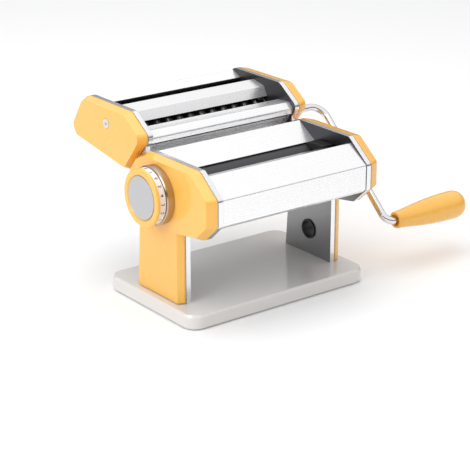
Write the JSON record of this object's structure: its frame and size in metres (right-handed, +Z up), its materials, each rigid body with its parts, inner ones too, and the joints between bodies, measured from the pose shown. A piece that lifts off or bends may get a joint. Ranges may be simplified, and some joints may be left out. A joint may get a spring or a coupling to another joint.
{
  "type": "pasta roller machine",
  "caption": "Hand-cranked pasta roller on a flat base: smooth rollers with a thickness knob, and a removable cutter unit with wide and narrow noodle slots.",
  "frame": {"origin": "centre of the base's footprint, on the table, where the non-slip sheet rests", "axes": "+X along the rollers towards the crank, +Y towards the cutter unit at the rear, +Z up"},
  "size_m": [0.354, 0.2225, 0.1765],
  "materials": {
    "chrome": "bright chrome-plated steel, faint brushing",
    "steel": "satin zinc-plated steel",
    "yellow": "glossy warm yellow moulded plastic",
    "enamel": "pale glossy enamel",
    "rubber": "matt black rubber",
    "black": "satin black plastic",
    "nylon": "natural nylon",
    "dial": "white number band with black digits",
    "cap": "pale grey satin plastic"
  },
  "bodies": {
    "root": {"base_plate": "enamel", "non_slip_mat": "rubber", "base_screws": "steel", "left_side_plate": "steel", "right_side_plate": "steel", "left_cover": "yellow", "right_cover": "yellow", "front_cover_sheet": "chrome", "rear_cover_sheet": "chrome", "tie_rods": "steel", "tie_rod_nuts": "steel", "cover_screws": "steel", "front_roller_bushes": "nylon", "front_scraper": "steel", "left_dough_guide": "black", "right_dough_guide": "black", "clamp_bush": "black", "index_collar": "chrome"},
    "front_roller_body": {"front_roller": "chrome", "front_roller_gear": "steel"},
    "carriage": {"left_carrier": "nylon", "right_carrier": "nylon", "carriage_bar": "steel", "rear_scraper": "steel", "cam_follower_pin": "steel"},
    "rear_roller_body": {"rear_roller": "chrome", "rear_roller_gear": "steel"},
    "regulator": {"regulator_shaft": "steel", "regulator_screw": "steel", "knob_spring": "steel"},
    "knob": {"knob_body": "yellow", "knob_dial": "dial", "knob_cap": "cap", "knob_locating_pin": "steel"},
    "cutter": {"cutter_left_plate": "steel", "cutter_right_plate": "steel", "cutter_left_cover": "yellow", "cutter_right_cover": "yellow", "cutter_nose_sheet": "chrome", "cutter_roof_sheet": "chrome", "cutter_rear_sheet": "chrome", "cutter_lower_sheet": "chrome", "cutter_tie_rods": "steel", "cutter_tie_rod_nuts": "steel", "cutter_cover_screws": "steel", "cutter_bushes": "nylon", "wide_combs": "black", "narrow_combs": "black"},
    "wide_front_body": {"wide_front_roller": "chrome", "wide_front_gear": "steel"},
    "wide_rear_body": {"wide_rear_roller": "chrome", "wide_rear_gear": "steel"},
    "narrow_front_body": {"narrow_front_roller": "chrome", "narrow_front_gear": "steel"},
    "narrow_rear_body": {"narrow_rear_roller": "chrome", "narrow_rear_gear": "steel"},
    "crank": {"crank_rod": "chrome", "crank_drive_pin": "steel", "grip_retainer": "black"},
    "grip_body": {"grip": "yellow"}
  },
  "joints": [
    {"name": "front_roller_spin", "type": "hinge", "parent": "root", "child": "front_roller_body", "pos_m": [0, -0.04287, 0.11658], "axis": [1, 0, 0], "continuous": true},
    {"name": "regulator_turn", "type": "hinge", "parent": "root", "child": "regulator", "pos_m": [0, -0.01, 0.1137], "axis": [1, 0, 0], "range_deg": [0, 162]},
    {"name": "carriage_shift", "type": "slide", "parent": "root", "child": "carriage", "axis": [0, 0.9962, -0.0872], "range_m": [0, 0.0024]},
    {"name": "rear_roller_spin", "type": "hinge", "parent": "carriage", "child": "rear_roller_body", "pos_m": [0, -0.01, 0.1137], "axis": [1, 0, 0], "continuous": true},
    {"name": "knob_pull", "type": "slide", "parent": "regulator", "child": "knob", "axis": [-1, 0, 0], "range_m": [0, 0.003], "stiffness_N_per_m": 400, "springref_m": -0.002, "deforming": ["knob_spring"]},
    {"name": "cutter_lift", "type": "slide", "parent": "root", "child": "cutter", "axis": [0, 0, 1], "range_m": [0, 0.06]},
    {"name": "wide_front_spin", "type": "hinge", "parent": "cutter", "child": "wide_front_body", "pos_m": [0, 0.0457, 0.1433], "axis": [1, 0, 0], "continuous": true},
    {"name": "wide_rear_spin", "type": "hinge", "parent": "cutter", "child": "wide_rear_body", "pos_m": [0, 0.0694, 0.14705], "axis": [1, 0, 0], "continuous": true},
    {"name": "narrow_rear_spin", "type": "hinge", "parent": "cutter", "child": "narrow_rear_body", "pos_m": [0, 0.1099, 0.15347], "axis": [1, 0, 0], "continuous": true},
    {"name": "narrow_front_spin", "type": "hinge", "parent": "cutter", "child": "narrow_front_body", "pos_m": [0, 0.09192, 0.15062], "axis": [1, 0, 0], "continuous": true},
    {"name": "crank_pull", "type": "slide", "parent": "wide_front_body", "child": "crank", "axis": [1, 0, 0], "range_m": [0, 0.03]},
    {"name": "grip_spin", "type": "hinge", "parent": "crank", "child": "grip_body", "pos_m": [0.19, -0.05658, 0.04859], "axis": [1, 0, 0], "continuous": true}
  ],
  "couplings": [
    {"joint": "regulator_turn", "follows": "carriage_shift", "rad_per_m": 1178.1},
    {"joint": "rear_roller_spin", "follows": "front_roller_spin", "ratio": -1},
    {"joint": "wide_rear_spin", "follows": "wide_front_spin", "ratio": -1},
    {"joint": "narrow_front_spin", "follows": "narrow_rear_spin", "ratio": -1}
  ]
}
